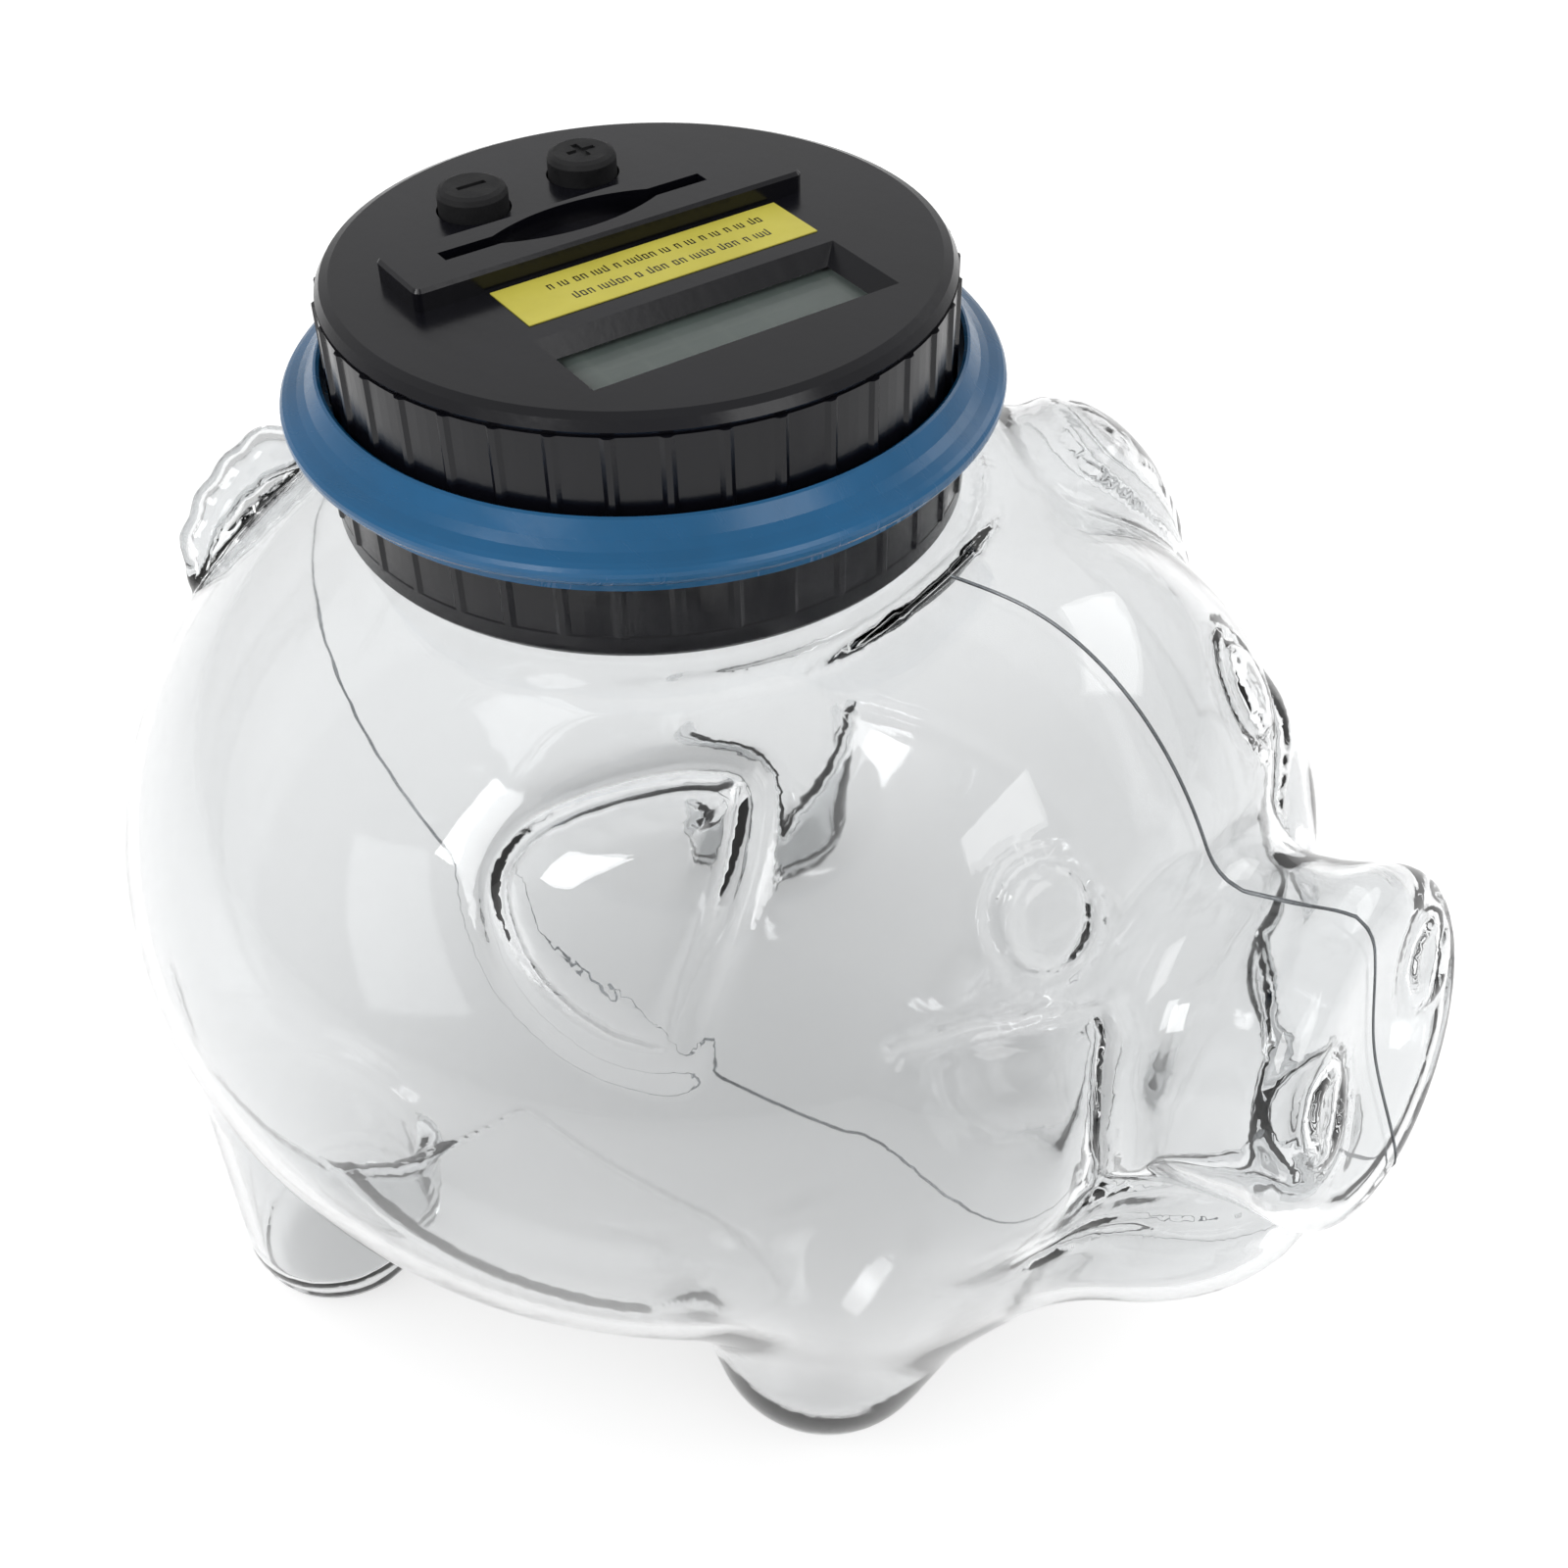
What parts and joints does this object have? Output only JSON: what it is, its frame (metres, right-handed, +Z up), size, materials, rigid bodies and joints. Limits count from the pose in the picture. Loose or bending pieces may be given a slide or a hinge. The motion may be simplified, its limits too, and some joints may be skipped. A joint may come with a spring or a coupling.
{
  "type": "coin counting jar",
  "caption": "Clear pig-shaped coin jar with a black screw lid that senses each coin through its slot and shows the total on a display.",
  "frame": {"origin": "on the ground, under the middle of the part's bounding box", "axes": "+X the way the pig faces, +Y to the pig's left, +Z up"},
  "size_m": [0.2162, 0.183, 0.1797],
  "materials": {
    "clear_plastic": "clear, glossy blow-moulded plastic",
    "blue_plastic": "satin gloss",
    "black_plastic": "satin gloss, slightly bluish black",
    "window_plastic": "clear, flat",
    "display_glass": "grey-green liquid crystal glass",
    "pink_rubber": "matte conductive rubber strip",
    "board_laminate": "green solder mask",
    "yellow_sticker": "semi-matte printed film",
    "switch_plastic": "matte black",
    "inner_plastic": "matte black",
    "white_plastic": "matte natural white",
    "black_rubber": "matte",
    "steel": "zinc plated",
    "spring_steel": "nickel plated",
    "cell_wrap": "printed cell sleeve"
  },
  "bodies": {
    "jar": {"jar": "clear_plastic"},
    "ring": {"trim_ring": "blue_plastic"},
    "lid": {"top_housing": "black_plastic", "base_housing": "black_plastic", "lcd_window": "window_plastic", "lcd_panel": "display_glass", "contact_strips": "pink_rubber", "circuit_board": "board_laminate", "label": "yellow_sticker", "tact_switches": "switch_plastic", "coin_chute": "inner_plastic", "lever_pin": "steel", "lever_spring": "spring_steel", "photo_sensor": "switch_plastic", "battery_1": "cell_wrap", "battery_2": "cell_wrap", "battery_springs": "spring_steel", "battery_plates": "spring_steel", "housing_screws": "steel", "board_screws": "steel"},
    "minus_key": {"minus_button": "black_rubber"},
    "plus_key": {"plus_button": "black_rubber"},
    "lever": {"sensing_lever": "white_plastic"},
    "door": {"battery_door": "black_plastic"}
  },
  "joints": [
    {"name": "lid_lift", "type": "slide", "parent": "jar", "child": "ring", "axis": [0, 0, 1], "range_m": [0, 0.015]},
    {"name": "lid_turn", "type": "hinge", "parent": "ring", "child": "lid", "pos_m": [-0.0208, 0, 0.142], "axis": [0, 0, 1], "range_deg": [0, 540]},
    {"name": "minus_press", "type": "slide", "parent": "lid", "child": "minus_key", "axis": [0, 0, -1], "range_m": [0, 0.001], "stiffness_N_per_m": 800, "springref_m": -0.0005},
    {"name": "plus_press", "type": "slide", "parent": "lid", "child": "plus_key", "axis": [0, 0, -1], "range_m": [0, 0.001], "stiffness_N_per_m": 800, "springref_m": -0.0005},
    {"name": "lever_swing", "type": "hinge", "parent": "lid", "child": "lever", "pos_m": [-0.02262, 0.02033, 0.169], "axis": [0.9444, -0.3289, 0], "range_deg": [0, 55], "stiffness_Nm_per_rad": 0.002, "springref_deg": -20.05},
    {"name": "door_swing", "type": "hinge", "parent": "lid", "child": "door", "pos_m": [-0.01693, -0.00135, 0.1562], "axis": [0.3289, 0.9444, 0], "range_deg": [0, 95]}
  ],
  "couplings": [
    {"joint": "lid_lift", "follows": "lid_turn", "m_per_rad": 0.0015915}
  ]
}
